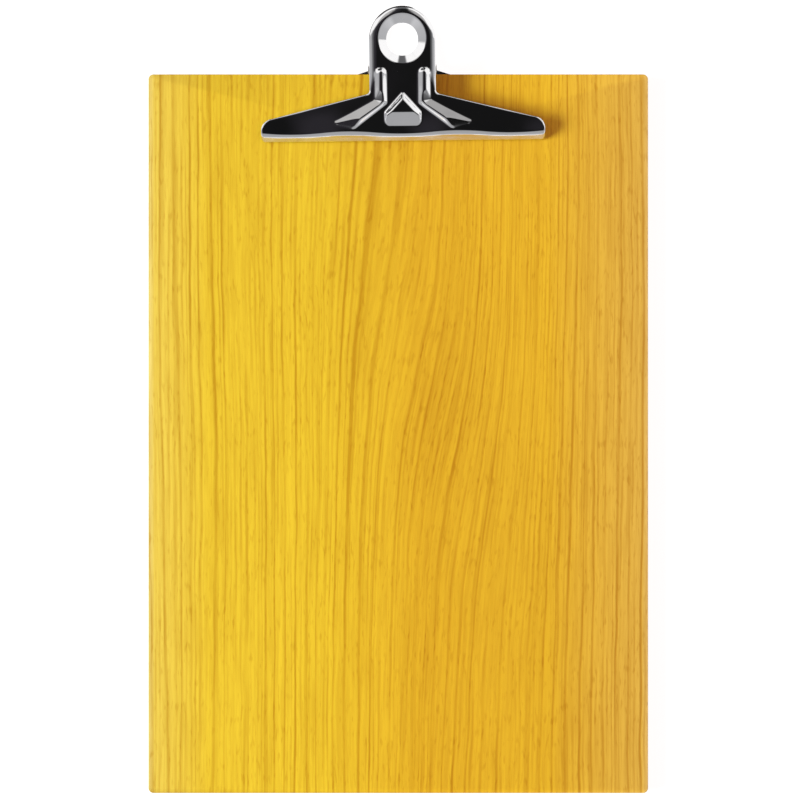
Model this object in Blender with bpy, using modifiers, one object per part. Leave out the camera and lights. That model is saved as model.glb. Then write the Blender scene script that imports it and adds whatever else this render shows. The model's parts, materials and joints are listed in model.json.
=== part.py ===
"""A4 clipboard: a faced board with a sprung hanging clip riveted over its top edge.

The clipboard lies face up. +Z is the board's front normal, +Y points to the clip and +X to the right.
The origin is at the middle of the footprint, on the surface that the clipboard lies on.
"""

import math

import bmesh
import bpy
from mathutils import Matrix, Vector
from mathutils.geometry import delaunay_2d_cdt

MM = 0.001

# Board: a core with a printed facing sheet glued to each face
BOARD_WIDTH = 220 * MM
BOARD_LENGTH = 316.5 * MM
BOARD_THICKNESS = 3.0 * MM
BOARD_CORNER_RADIUS = 2.2 * MM
FACING_THICKNESS = 0.35 * MM
GLUE_LINE = 0.15 * MM
CLIP_ZONE = 40 * MM
CLIP_ZONE_PRESS = 0.05 * MM

# Clip: pressed from one gauge of sheet, a little off centre and a little askew, as riveted by hand
SHEET = 0.8 * MM
CLIP_OFFSET_X = 1.85 * MM
CLIP_SKEW = math.radians(0.65)
GAP = 0.3 * MM

# Front plate, seen from above: Y is counted from the board's top edge
TAB_HALF_WIDTH = 14.5 * MM
TAB_REACH = 27.9 * MM
JAW_HALF_WIDTH = 62.3 * MM
JAW_LIP_Y = -29.5 * MM
JAW_SHOULDER_Y = -9.1 * MM
JAW_END_Y = -20.7 * MM

# Front plate, seen from the side: heights are counted from the board's front
LIP_HEIGHT = 1.9 * MM
LIP_SLOPE = math.tan(math.radians(40))
WING_SLOPE = math.tan(math.radians(12))
TAB_SLOPE = math.tan(math.radians(17))
LIP_BEND_Y = -26.2 * MM
LIP_BEND_HALF = 1.0 * MM
TAB_BEND_Y = -4.0 * MM
TAB_BEND_HALF = 3.5 * MM
ROLL_RADIUS = 1.2 * MM
TAB_FLANGE = 2.4 * MM
WING_FLANGE = 1.2 * MM
FLANGE_TAPER = 9.0 * MM

# Hanging holes
HOLE_Y = 14.0 * MM
HOLE_LIP_RADIUS = 10.9 * MM
HOLE_RADIUS = 6.95 * MM
HOLE_DEPTH = 2.8 * MM
REAR_HOLE_Y = 15.4 * MM
REAR_HOLE_RADIUS = 7.7 * MM

# Pivot: a pin across two pairs of ears
PIVOT_Y = 1.5 * MM
PIVOT_Z = 5.0 * MM
PIN_RADIUS = 1.5 * MM
PIN_HEAD_RADIUS = 2.2 * MM
PIN_HEAD_LENGTH = 0.4 * MM
PIN_HEAD_GAP = 0.2 * MM
PIN_CLEARANCE = 0.06 * MM
EAR_RADIUS = 3.2 * MM
REAR_EAR_X = 12.9 * MM
EAR_NECK_Z = 1.0 * MM
ROUND_SIDES = 32
ARC_STEP = 2.0 * MM

# Rear plate, flat on the back of the board
REAR_TAB_HALF_WIDTH = 14.3 * MM
REAR_TAB_REACH = 27.4 * MM
REAR_HALF_WIDTH = 60 * MM
REAR_BOTTOM_Y = -26 * MM
WINDOW_LOW_Y = 0.6 * MM
WINDOW_HIGH_Y = 5.0 * MM

# Torsion spring on the pin
WIRE_RADIUS = 0.75 * MM
COIL_RADIUS = 3.0 * MM
COIL_HALF_LENGTH = 11.2 * MM
COIL_TURNS = 12
POINTS_PER_TURN = 12
LEG_CLEARANCE = 0.35 * MM

# Rivets that hold the rear plate and the board together
RIVET_X = 32 * MM
RIVET_Y = -19 * MM
RIVET_SHANK_RADIUS = 1.9 * MM
RIVET_HEAD_RADIUS = 4.0 * MM
RIVET_HEAD_HEIGHT = 1.3 * MM
RIVET_TAIL_RADIUS = 3.4 * MM
RIVET_TAIL_HEIGHT = 1.0 * MM
RIVET_SIDES = 24

# Places that follow from the sizes above
BOARD_BACK_Z = RIVET_TAIL_HEIGHT + GAP + SHEET + GAP
BOARD_FRONT_Z = BOARD_BACK_Z + BOARD_THICKNESS
BOARD_TOP_Y = (BOARD_LENGTH + TAB_REACH) / 2 - TAB_REACH
BOARD_CENTRE_Y = BOARD_TOP_Y - BOARD_LENGTH / 2
REAR_FRONT_FACE = -BOARD_THICKNESS - GAP
REAR_BACK_FACE = REAR_FRONT_FACE - SHEET

# Ribs and roof pressed up out of the front plate: corners of each foot, and how far its slopes run inwards
RIB_HEIGHT = 1.4 * MM
RIB_TOP_Y = -0.8 * MM
RIB_X = 9.5 * MM
RIB_HALF_WIDTH = 2.8 * MM
RIB_SIDE_RUN = 2.2 * MM
RIB_UPPER_RUN = 3.6 * MM
RIB_LOWER_RUN = 1.7 * MM
RIB_END_RUN = 1.2 * MM
RIB_OUTER_BEND = (12.3 * MM, -11.8 * MM)
RIB_OUTER_END = (29.6 * MM, -21.9 * MM)
RIB_INNER_END = (21.8 * MM, -24.6 * MM)
RIB_INNER_BEND = (6.7 * MM, -13.2 * MM)
ROOF_HEIGHT = 1.85 * MM
ROOF_APEX_Y = -8.6 * MM
ROOF_EAVES = (8.0 * MM, -17.2 * MM)
ROOF_FOOT = (7.9 * MM, -21.2 * MM)
ROOF_TOE = (6.2 * MM, -23.3 * MM)
ROOF_RUN = 2.0 * MM
ROOF_WALL_RUN = 1.0 * MM
ROOF_FRONT_RUN = 6.0 * MM


# ---------------------------------------------------------------- scene, materials and objects


def clear_scene():
    for obj in list(bpy.data.objects):
        bpy.data.objects.remove(obj, do_unlink=True)


def make_collection(name):
    collection = bpy.data.collections.new(name)
    bpy.context.scene.collection.children.link(collection)
    return collection


def make_material(name, colour, roughness, metallic):
    material = bpy.data.materials.new(name)
    material.use_nodes = True
    shader = material.node_tree.nodes["Principled BSDF"]
    shader.inputs["Base Color"].default_value = (*colour, 1.0)
    shader.inputs["Roughness"].default_value = roughness
    shader.inputs["Metallic"].default_value = metallic
    return material


def add_object(name, data, collection, parent=None, location=(0, 0, 0)):
    obj = bpy.data.objects.new(name, data)
    collection.objects.link(obj)
    obj.parent = parent
    obj.location = location
    return obj


def mesh_from(name, bm):
    bmesh.ops.recalc_face_normals(bm, faces=bm.faces)
    mesh = bpy.data.meshes.new(name)
    bm.to_mesh(mesh)
    bm.free()
    return mesh


def add_cylinder(bm, radius, depth, matrix, sides=ROUND_SIDES):
    bmesh.ops.create_cone(
        bm,
        cap_ends=True,
        segments=sides,
        radius1=radius,
        radius2=radius,
        depth=depth,
        matrix=matrix,
    )


def add_cutter(name, radius, depth, matrix, parent, collection, sides=ROUND_SIDES):
    bm = bmesh.new()
    add_cylinder(bm, radius, depth, matrix, sides)
    cutter = add_object(name, mesh_from(name, bm), collection, parent)
    cutter.hide_render = True
    cutter.display_type = "WIRE"
    return cutter


def cut(obj, cutter):
    modifier = obj.modifiers.new("cut_" + cutter.name, "BOOLEAN")
    modifier.operation = "DIFFERENCE"
    modifier.solver = "EXACT"
    modifier.object = cutter


def across(y, z):
    """A cylinder's matrix, laid along X."""
    return Matrix.Translation((0, y, z)) @ Matrix.Rotation(math.pi / 2, 4, "Y")


# ---------------------------------------------------------------- outlines in the plane


def rounded_path(corners):
    """The corners (x, y, radius) joined by straight lines, each corner rounded to its radius."""
    points = []
    for index, (x, y, radius) in enumerate(corners):
        here = Vector((x, y))
        if radius == 0 or index in (0, len(corners) - 1):
            points.append(here)
            continue
        before = (Vector(corners[index - 1][:2]) - here).normalized()
        after = (Vector(corners[index + 1][:2]) - here).normalized()
        half = before.angle(after) / 2
        centre = here + (before + after).normalized() * radius / math.sin(half)
        start = here + before * radius / math.tan(half) - centre
        end = here + after * radius / math.tan(half) - centre
        turn = start.angle_signed(end)
        steps = max(4, math.ceil(abs(turn) * radius / ARC_STEP))
        for step in range(steps + 1):
            spun = start.copy()
            spun.rotate(Matrix.Rotation(-turn * step / steps, 2))
            points.append(centre + spun)
    return points


def mirrored_loop(half):
    """A closed loop from its right half, which runs from the bottom to the top of the Y axis."""
    left = [Vector((-p.x, p.y)) for p in reversed(half[1:-1])]
    return half + left


def inset_loop(loop, distance):
    """The loop, run counter-clockwise, moved inwards."""
    moved = []
    for index, point in enumerate(loop):
        before = (point - loop[index - 1]).normalized()
        after = (loop[(index + 1) % len(loop)] - point).normalized()
        normal = Vector((-before.y - after.y, before.x + after.x)).normalized()
        cosine = normal.dot(Vector((-before.y, before.x)))
        moved.append(point + normal * distance / cosine)
    return moved


def circle(radius, centre_y, count):
    angles = [2 * math.pi * step / count for step in range(count)]
    return [Vector((radius * math.cos(a), centre_y + radius * math.sin(a))) for a in angles]


def segment_distance(point, start, end):
    along = end - start
    share = (point - start).dot(along) / along.length_squared
    return (point - start - along * min(1, max(0, share))).length


def loop_distance(point, loop):
    return min(segment_distance(point, loop[i - 1], loop[i]) for i in range(len(loop)))


def is_inside(point, loop):
    inside = False
    for index, b in enumerate(loop):
        a = loop[index - 1]
        if (a.y > point.y) != (b.y > point.y):
            crossing = a.x + (point.y - a.y) * (b.x - a.x) / (b.y - a.y)
            inside ^= point.x < crossing
    return inside


def fill_sheet(outline, holes, loops, lines, height):
    """A triangulated sheet inside the outline, without the holes, lifted to height(point)."""
    points = []
    edges = []
    for loop in [outline, *holes, *loops]:
        first = len(points)
        points += loop
        edges += [(first + i, first + (i + 1) % len(loop)) for i in range(len(loop))]
    for line in lines:
        edges.append((len(points), len(points) + 1))
        points += line
    flat, _, triangles, *_ = delaunay_2d_cdt(points, edges, [], 1, 1e-7)
    bm = bmesh.new()
    verts = [bm.verts.new((p.x, p.y, height(p))) for p in flat]
    for triangle in triangles:
        centre = sum((flat[i] for i in triangle), Vector((0, 0))) / 3
        if is_inside(centre, outline) and not any(is_inside(centre, hole) for hole in holes):
            bm.faces.new([verts[i] for i in triangle])
    loose = [v for v in bm.verts if not v.link_faces]
    bmesh.ops.delete(bm, geom=loose, context="VERTS")
    for face in bm.faces:
        if face.normal.z < 0:
            face.normal_flip()
    bm.normal_update()
    return bm


def border_edges(bm, is_wanted):
    border = (e for e in bm.edges if e.is_boundary)
    return [e for e in border if all(is_wanted(v.co) for v in e.verts)]


def turn_edge(bm, edges, height):
    """Draws the border edges straight up or down to height(point), which makes a flange or an ear."""
    drawn = bmesh.ops.extrude_edge_only(bm, edges=edges)["geom"]
    for vert in (item for item in drawn if isinstance(item, bmesh.types.BMVert)):
        vert.co.z = height(vert.co)


def add_sheet(name, bm, material, collection, parent, location=(0, 0, 0)):
    """A pressed sheet: the open surface is its outer face, and its thickness lies behind that."""
    bmesh.ops.translate(bm, verts=bm.verts, vec=-Vector(location))
    mesh = bpy.data.meshes.new(name)
    bm.to_mesh(mesh)
    bm.free()
    mesh.materials.append(material)
    mesh.shade_smooth()
    mesh.set_sharp_from_angle(angle=math.radians(30))
    obj = add_object(name, mesh, collection, parent, location)
    thickness = obj.modifiers.new("thickness", "SOLIDIFY")
    thickness.thickness = SHEET
    thickness.offset = -1
    thickness.use_even_offset = True
    normals = obj.modifiers.new("flat_faces_look_flat", "WEIGHTED_NORMAL")
    normals.keep_sharp = True
    return obj


# ---------------------------------------------------------------- shape of the pressed front plate


def bend(y, bend_y, half, slope_change):
    """Height that a rounded bend at bend_y adds to everything beyond it."""
    if y <= bend_y - half:
        return 0.0
    if y >= bend_y + half:
        return slope_change * (y - bend_y)
    return slope_change * (y - bend_y + half) ** 2 / (4 * half)


def plate_height(y):
    lip = LIP_HEIGHT + LIP_SLOPE * (y - JAW_LIP_Y)
    wing = bend(y, LIP_BEND_Y, LIP_BEND_HALF, WING_SLOPE - LIP_SLOPE)
    tab = bend(y, TAB_BEND_Y, TAB_BEND_HALF, TAB_SLOPE - WING_SLOPE)
    return lip + wing + tab


def jaw_outline():
    ear_stations = [(TAB_HALF_WIDTH, PIVOT_Y + dy * MM, 0) for dy in range(-7, 8)]
    corners = [
        (0, JAW_LIP_Y, 0),
        (JAW_HALF_WIDTH / 3, JAW_LIP_Y, 0),
        (JAW_HALF_WIDTH * 2 / 3, JAW_LIP_Y, 0),
        (JAW_HALF_WIDTH, JAW_LIP_Y, 1.8 * MM),
        (JAW_HALF_WIDTH, JAW_END_Y, 5 * MM),
        (JAW_HALF_WIDTH * 0.6, JAW_SHOULDER_Y + (JAW_END_Y - JAW_SHOULDER_Y) * 0.48, 0),
        (TAB_HALF_WIDTH, JAW_SHOULDER_Y, 1.8 * MM),
        *ear_stations,
        (TAB_HALF_WIDTH, TAB_REACH, TAB_HALF_WIDTH),
        (0, TAB_REACH, 0),
    ]
    return mirrored_loop(rounded_path(corners))


def rib_foot(side):
    """The foot of one rib, counter-clockwise from its inner bend, and the slope run of each edge."""
    corners = [RIB_INNER_BEND, RIB_INNER_END, RIB_OUTER_END, RIB_OUTER_BEND]
    runs = [RIB_LOWER_RUN, RIB_END_RUN, RIB_UPPER_RUN, RIB_SIDE_RUN]
    for step in range(5):
        angle = math.pi * step / 4
        corners.append(
            (
                RIB_X + RIB_HALF_WIDTH * math.cos(angle),
                RIB_TOP_Y + RIB_HALF_WIDTH * math.sin(angle),
            )
        )
        runs.append(RIB_SIDE_RUN)
    loop = [Vector((side * x, y)) for x, y in corners]
    if side > 0:
        return loop, runs
    return loop[::-1], runs[-2::-1] + runs[-1:]


def roof_foot():
    right = [(0, ROOF_APEX_Y), ROOF_EAVES, ROOF_FOOT, ROOF_TOE]
    right_runs = [ROOF_RUN, ROOF_WALL_RUN, ROOF_WALL_RUN]
    loop = [Vector((-x, y)) for x, y in right]
    loop += [Vector(corner) for corner in reversed(right[1:])]
    runs = right_runs + [ROOF_FRONT_RUN] + right_runs[::-1]
    return loop, runs


def inset_foot(loop, runs):
    """The plateau of a pressed shape: each edge of its foot moved in by its own slope run."""
    plateau = []
    for index, corner in enumerate(loop):
        before = (corner - loop[index - 1]).normalized()
        after = (loop[(index + 1) % len(loop)] - corner).normalized()
        normal_before = Vector((-before.y, before.x))
        normal_after = Vector((-after.y, after.x))
        lines = Matrix((normal_before, normal_after))
        offsets = Vector((runs[index - 1], runs[index]))
        plateau.append(corner + lines.inverted() @ offsets)
    return plateau


def pressing_height(point, loop, runs, height):
    """How far a pressed shape lifts this point of the plate."""
    if not is_inside(point, loop):
        return 0.0
    count = len(loop)
    shares = [
        segment_distance(point, loop[i], loop[(i + 1) % count]) / runs[i] for i in range(count)
    ]
    return height * min(1.0, *shares)


def funnel_depth(point):
    """How far the dished hanging hole lies below the plate: a rounded lip, then a steep cone."""
    radius = (point - Vector((0, HOLE_Y))).length
    inwards = (HOLE_LIP_RADIUS - radius) / (HOLE_LIP_RADIUS - HOLE_RADIUS)
    if inwards <= 0:
        return 0.0
    rounded = 0.18
    return HOLE_DEPTH * (inwards**2 / (2 * rounded) if inwards < rounded else inwards - rounded / 2)


def flange_bottom(point):
    """The lower edge of the front plate's turned rim, which deepens into an ear at the pivot."""
    x, y = abs(point.x), point.y
    outwards = min(1.0, max(0.0, (x - TAB_HALF_WIDTH) / FLANGE_TAPER))
    rim = plate_height(y) - ROLL_RADIUS
    bottom = max(GAP, rim - TAB_FLANGE + (TAB_FLANGE - WING_FLANGE) * outwards)
    if x > TAB_HALF_WIDTH + 0.1 * MM:
        return bottom
    offset = abs(y - PIVOT_Y)
    corner = EAR_RADIUS * math.sin(math.radians(60))
    if offset < corner:
        ear = PIVOT_Z - math.sqrt(EAR_RADIUS**2 - offset**2)
    else:
        ear = PIVOT_Z - EAR_RADIUS / 2 + math.tan(math.radians(60)) * (offset - corner)
    return min(bottom, ear)


def build_front_plate(material, collection, parent, pin_bore):
    outline = jaw_outline()
    roll = [inset_loop(outline, ROLL_RADIUS * share) for share in (0.29, 1.0)]
    pressings = [(*rib_foot(side), RIB_HEIGHT) for side in (1, -1)]
    pressings.append((*roof_foot(), ROOF_HEIGHT))
    loops = list(roll)
    for loop, runs, _ in pressings:
        loops += [loop, inset_foot(loop, runs)]
    hole = circle(HOLE_RADIUS, HOLE_Y, ROUND_SIDES)
    loops += [circle(HOLE_RADIUS + r * MM, HOLE_Y, ROUND_SIDES) for r in (3.2, 3.95)]

    def bend_line(y, half_width):
        return [Vector((-half_width, y)), Vector((half_width, y))]

    lip_reach = JAW_HALF_WIDTH - 1.5 * ROLL_RADIUS
    tab_reach = TAB_HALF_WIDTH - 1.5 * ROLL_RADIUS
    lines = [bend_line(LIP_BEND_Y + share * LIP_BEND_HALF, lip_reach) for share in (-1, 0, 1)]
    lines += [bend_line(TAB_BEND_Y + share * TAB_BEND_HALF, tab_reach) for share in (-1, 0, 1)]

    def height(point):
        from_edge = min(ROLL_RADIUS, loop_distance(point, outline))
        roll_drop = ROLL_RADIUS - math.sqrt(ROLL_RADIUS**2 - (ROLL_RADIUS - from_edge) ** 2)
        lift = max(pressing_height(point, *pressing) for pressing in pressings)
        return plate_height(point.y) + lift - roll_drop - funnel_depth(point)

    bm = fill_sheet(outline, [hole], loops, lines, height)
    hole_centre = Vector((0, HOLE_Y))
    rim = border_edges(bm, lambda co: (co.xy - hole_centre).length > HOLE_RADIUS + MM)
    turn_edge(bm, rim, flange_bottom)
    plate = add_sheet(
        "front_jaw_plate", bm, material, collection, parent, (0, PIVOT_Y, PIVOT_Z)
    )
    cut(plate, pin_bore)
    return plate


# ---------------------------------------------------------------- the other pieces


def press_clip_zone(bm, outwards):
    """Under the clip the facing's outer side slopes down a little, as riveting leaves it."""
    low_y = BOARD_LENGTH / 2 - CLIP_ZONE
    bmesh.ops.bisect_plane(
        bm, geom=[*bm.verts, *bm.edges, *bm.faces], plane_co=(0, low_y, 0), plane_no=(0, 1, 0)
    )
    for vert in bm.verts:
        if vert.co.y > low_y and vert.co.z * outwards > 0:
            share = (vert.co.y - low_y) / CLIP_ZONE
            vert.co.z -= math.copysign(CLIP_ZONE_PRESS * share, outwards)


def build_board(core_material, facing_material, collection, parent, bores):
    layers = [
        ("back_facing", 0.0, FACING_THICKNESS, facing_material),
        (
            "board_core",
            FACING_THICKNESS + GLUE_LINE,
            BOARD_THICKNESS - 2 * (FACING_THICKNESS + GLUE_LINE),
            core_material,
        ),
        ("front_facing", BOARD_THICKNESS - FACING_THICKNESS, FACING_THICKNESS, facing_material),
    ]
    for name, low, thickness, material in layers:
        bm = bmesh.new()
        bmesh.ops.create_cube(bm, size=1.0)
        bmesh.ops.scale(bm, verts=bm.verts, vec=(BOARD_WIDTH, BOARD_LENGTH, thickness))
        upright = [e for e in bm.edges if abs(e.verts[0].co.z - e.verts[1].co.z) > thickness / 2]
        bmesh.ops.bevel(
            bm, geom=upright, offset=BOARD_CORNER_RADIUS, segments=4, profile=0.5, affect="EDGES"
        )
        middle = BOARD_BACK_Z + low + thickness / 2
        outwards = middle - BOARD_BACK_Z - BOARD_THICKNESS / 2
        if material is facing_material:
            press_clip_zone(bm, outwards)
        mesh = mesh_from(name, bm)
        mesh.materials.append(material)
        layer = add_object(name, mesh, collection, parent, (0, BOARD_CENTRE_Y, middle))
        for bore in bores:
            cut(layer, bore)


def rear_outline():
    corners = [
        (0, REAR_BOTTOM_Y, 0),
        (REAR_HALF_WIDTH, REAR_BOTTOM_Y, 2 * MM),
        (REAR_HALF_WIDTH, -12.5 * MM, 4 * MM),
        (REAR_TAB_HALF_WIDTH, 2.4 * MM, 1.2 * MM),
        (REAR_TAB_HALF_WIDTH, REAR_TAB_REACH, REAR_TAB_HALF_WIDTH - 0.05 * MM),
        (0, REAR_TAB_REACH, 0),
    ]
    return mirrored_loop(rounded_path(corners))


def build_rear_plate(material, collection, parent, pin_bore, rivet_bores):
    """The flat rear plate, whose ears are folded forwards out of the window between them."""
    outline = rear_outline()
    window = [
        Vector((-REAR_EAR_X, WINDOW_HIGH_Y)),
        Vector((-REAR_EAR_X, WINDOW_LOW_Y)),
        Vector((REAR_EAR_X, WINDOW_LOW_Y)),
        Vector((REAR_EAR_X, WINDOW_HIGH_Y)),
    ]
    hole = circle(REAR_HOLE_RADIUS, REAR_HOLE_Y, ROUND_SIDES)
    bm = fill_sheet(outline, [window, hole], [], [], lambda point: REAR_FRONT_FACE)

    def at_window(co):
        return abs(abs(co.x) - REAR_EAR_X) < 0.01 * MM and co.y < WINDOW_HIGH_Y + 0.01 * MM

    window_edges = border_edges(bm, at_window)
    folds = [e for e in window_edges if e.verts[0].co.x * e.verts[1].co.x > 0]
    turn_edge(bm, folds, lambda co: EAR_NECK_Z)
    necks = border_edges(bm, lambda co: co.z > REAR_FRONT_FACE + MM)
    turn_edge(bm, necks, lambda co: PIVOT_Z)
    tips = border_edges(bm, lambda co: co.z > EAR_NECK_Z + MM)
    for vert in {vert for edge in tips for vert in edge.verts}:
        vert.co.y = PIVOT_Y + math.copysign(EAR_RADIUS, vert.co.y - PIVOT_Y)
    split = bmesh.ops.subdivide_edges(bm, edges=tips, cuts=7)["geom_inner"]
    for vert in (item for item in split if isinstance(item, bmesh.types.BMVert)):
        angle = math.pi / 2 * (1 - (vert.co.y - PIVOT_Y) / EAR_RADIUS)
        vert.co.y = PIVOT_Y + EAR_RADIUS * math.cos(angle)
        vert.co.z = PIVOT_Z + EAR_RADIUS * math.sin(angle)
    plate = add_sheet("rear_jaw_plate", bm, material, collection, parent)
    for bore in [pin_bore, *rivet_bores]:
        cut(plate, bore)


def build_pin(material, collection, parent):
    """A round pin with a low head outside each front ear."""
    head_start = TAB_HALF_WIDTH + PIN_HEAD_GAP
    head_end = head_start + PIN_HEAD_LENGTH
    profile = [
        (head_end, 0),
        (head_end, PIN_HEAD_RADIUS * 0.6),
        (head_end - 0.3 * MM, PIN_HEAD_RADIUS * 0.9),
        (head_start + 0.2 * MM, PIN_HEAD_RADIUS),
        (head_start, PIN_HEAD_RADIUS * 0.95),
        (head_start, PIN_RADIUS),
    ]
    profile += [(-x, radius) for x, radius in reversed(profile)]
    place = (0, PIVOT_Y, PIVOT_Z)
    build_turned("pivot_pin", profile, ROUND_SIDES, "X", material, collection, parent, place)


def build_rivet(name, x, material, collection, parent):
    """A domed head on the board's front, a shank through board and rear plate, and a peened tail."""
    head_low = GAP
    head_top = GAP + RIVET_HEAD_HEIGHT
    tail_top = REAR_BACK_FACE - GAP
    tail_low = tail_top - RIVET_TAIL_HEIGHT
    profile = [
        (head_top, 0),
        (head_top - 0.1 * MM, RIVET_HEAD_RADIUS * 0.4),
        (head_top - 0.45 * MM, RIVET_HEAD_RADIUS * 0.8),
        (head_low + 0.3 * MM, RIVET_HEAD_RADIUS),
        (head_low, RIVET_HEAD_RADIUS),
        (head_low, RIVET_SHANK_RADIUS),
        (tail_top, RIVET_SHANK_RADIUS),
        (tail_top, RIVET_TAIL_RADIUS),
        (tail_top - 0.3 * MM, RIVET_TAIL_RADIUS),
        (tail_low + 0.2 * MM, RIVET_TAIL_RADIUS * 0.8),
        (tail_low, RIVET_TAIL_RADIUS * 0.5),
        (tail_low, 0),
    ]
    build_turned(name, profile, RIVET_SIDES, "Z", material, collection, parent, (x, RIVET_Y, 0))


def build_turned(name, profile, sides, axis, material, collection, parent, location):
    """A solid turned from (place along the axis, radius) pairs, listed from its top down."""
    bm = bmesh.new()
    if axis == "Z":
        verts = [bm.verts.new((radius, 0, place)) for place, radius in profile]
    else:
        verts = [bm.verts.new((place, radius, 0)) for place, radius in profile]
    for start, end in zip(verts, verts[1:]):
        bm.edges.new((start, end))
    mesh = bpy.data.meshes.new(name)
    bm.to_mesh(mesh)
    bm.free()
    mesh.materials.append(material)
    obj = add_object(name, mesh, collection, parent, location)
    screw = obj.modifiers.new("turn", "SCREW")
    screw.axis = axis
    screw.steps = sides
    screw.render_steps = sides
    screw.use_merge_vertices = True
    screw.merge_threshold = 0.01 * MM
    screw.use_smooth_shade = True
    return obj


def leg_end(side):
    """Where a spring leg presses, from the pin's axis: under the front tab, or on the rear tab."""
    lift = WIRE_RADIUS + LEG_CLEARANCE
    if side > 0:
        y = 9.0 * MM
        z = plate_height(y) - (SHEET + lift) / math.cos(math.atan(TAB_SLOPE))
    else:
        y = 8.6 * MM
        z = REAR_FRONT_FACE + lift
    return Vector((y - PIVOT_Y, z - PIVOT_Z))


def leg_angle(side):
    """The angle about the pin's axis where the leg leaves the coil along a tangent."""
    end = leg_end(side)
    return math.atan2(end.y, end.x) + side * math.acos(COIL_RADIUS / end.length)


def build_spring(material, collection, parent):
    """A close coil round the pin. Its right leg pushes the front tab, its left leg the rear one."""
    start = leg_angle(-1)
    turn = leg_angle(1) - start - 2 * math.pi * COIL_TURNS
    count = COIL_TURNS * POINTS_PER_TURN
    points = [(-COIL_HALF_LENGTH, *leg_end(-1))]
    for step in range(count + 1):
        share = step / count
        angle = start + turn * share
        x = COIL_HALF_LENGTH * (2 * share - 1)
        points.append((x, COIL_RADIUS * math.cos(angle), COIL_RADIUS * math.sin(angle)))
    points.append((COIL_HALF_LENGTH, *leg_end(1)))
    curve = bpy.data.curves.new("torsion_spring", "CURVE")
    curve.dimensions = "3D"
    curve.bevel_depth = WIRE_RADIUS
    curve.bevel_resolution = 2
    curve.use_fill_caps = True
    spline = curve.splines.new("POLY")
    spline.points.add(len(points) - 1)
    for target, point in zip(spline.points, points):
        target.co = (*point, 1.0)
    curve.materials.append(material)
    add_object("torsion_spring", curve, collection, parent, (0, PIVOT_Y, PIVOT_Z))


def build_clipboard():
    parts = make_collection("clipboard")
    cutters = make_collection("cutters")
    chrome = make_material("chrome", (0.75, 0.75, 0.77), 0.08, 1.0)
    spring_steel = make_material("spring_steel", (0.42, 0.42, 0.44), 0.3, 1.0)
    fibreboard = make_material("fibreboard", (0.62, 0.43, 0.16), 0.8, 0.0)
    facing = make_material("wood_print_facing", (0.83, 0.53, 0.04), 0.45, 0.0)

    clip_place = (CLIP_OFFSET_X, BOARD_TOP_Y, BOARD_FRONT_Z)
    clip_frame = add_object("clip_frame", None, parts, None, clip_place)
    clip_frame.rotation_euler.z = CLIP_SKEW

    bore_radius = (PIN_RADIUS + PIN_CLEARANCE) / math.cos(math.pi / ROUND_SIDES)
    pin_bore = add_cutter(
        "pin_bore", bore_radius, 40 * MM, across(PIVOT_Y, PIVOT_Z), clip_frame, cutters
    )
    rivet_bores = [
        add_cutter(
            f"rivet_bore_{side}",
            RIVET_SHANK_RADIUS + GAP,
            12 * MM,
            Matrix.Translation((x, RIVET_Y, -BOARD_THICKNESS)),
            clip_frame,
            cutters,
            RIVET_SIDES,
        )
        for side, x in (("left", -RIVET_X), ("right", RIVET_X))
    ]

    build_board(fibreboard, facing, parts, None, rivet_bores)
    build_front_plate(chrome, parts, clip_frame, pin_bore)
    build_rear_plate(chrome, parts, clip_frame, pin_bore, rivet_bores)
    build_pin(chrome, parts, clip_frame)
    build_spring(spring_steel, parts, clip_frame)
    build_rivet("rivet_left", -RIVET_X, chrome, parts, clip_frame)
    build_rivet("rivet_right", RIVET_X, chrome, parts, clip_frame)


clear_scene()
build_clipboard()
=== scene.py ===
"""Looks of an A4 clipboard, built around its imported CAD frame.

World frame, in metres: +Z is the board's front normal, +Y points to the clip, +X to the right. Shapes of
the clip are worked out in its own frame: x across, y outwards from the board's top edge, z up from the
board's front. The clip's sizes are those of the CAD frame, except that the rolled edges, the lip and the
ribs are finer here.
"""

import json
import math

import bmesh
import bpy
import numpy as np
from mathutils import Matrix, Vector
from mathutils.geometry import delaunay_2d_cdt


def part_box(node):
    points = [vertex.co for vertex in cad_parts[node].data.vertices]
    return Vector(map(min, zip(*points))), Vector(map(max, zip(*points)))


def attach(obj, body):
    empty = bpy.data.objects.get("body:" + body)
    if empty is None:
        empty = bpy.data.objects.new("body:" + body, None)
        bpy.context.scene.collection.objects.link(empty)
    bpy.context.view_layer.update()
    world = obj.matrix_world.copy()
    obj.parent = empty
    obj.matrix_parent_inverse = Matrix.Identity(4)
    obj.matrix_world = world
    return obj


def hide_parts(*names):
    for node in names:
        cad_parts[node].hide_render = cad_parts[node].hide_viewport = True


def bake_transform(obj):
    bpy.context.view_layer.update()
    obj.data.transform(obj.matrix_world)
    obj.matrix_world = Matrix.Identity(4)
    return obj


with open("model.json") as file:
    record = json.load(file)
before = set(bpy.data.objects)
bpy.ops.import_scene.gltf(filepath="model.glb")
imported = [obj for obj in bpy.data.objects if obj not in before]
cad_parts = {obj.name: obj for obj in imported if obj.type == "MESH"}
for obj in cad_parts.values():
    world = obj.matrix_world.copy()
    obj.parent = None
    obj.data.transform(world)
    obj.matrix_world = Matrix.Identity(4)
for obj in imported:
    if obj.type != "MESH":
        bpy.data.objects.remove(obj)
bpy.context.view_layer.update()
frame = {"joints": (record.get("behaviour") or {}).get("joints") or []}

MM = 0.001

# ---------------------------- sizes of the clip

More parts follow.
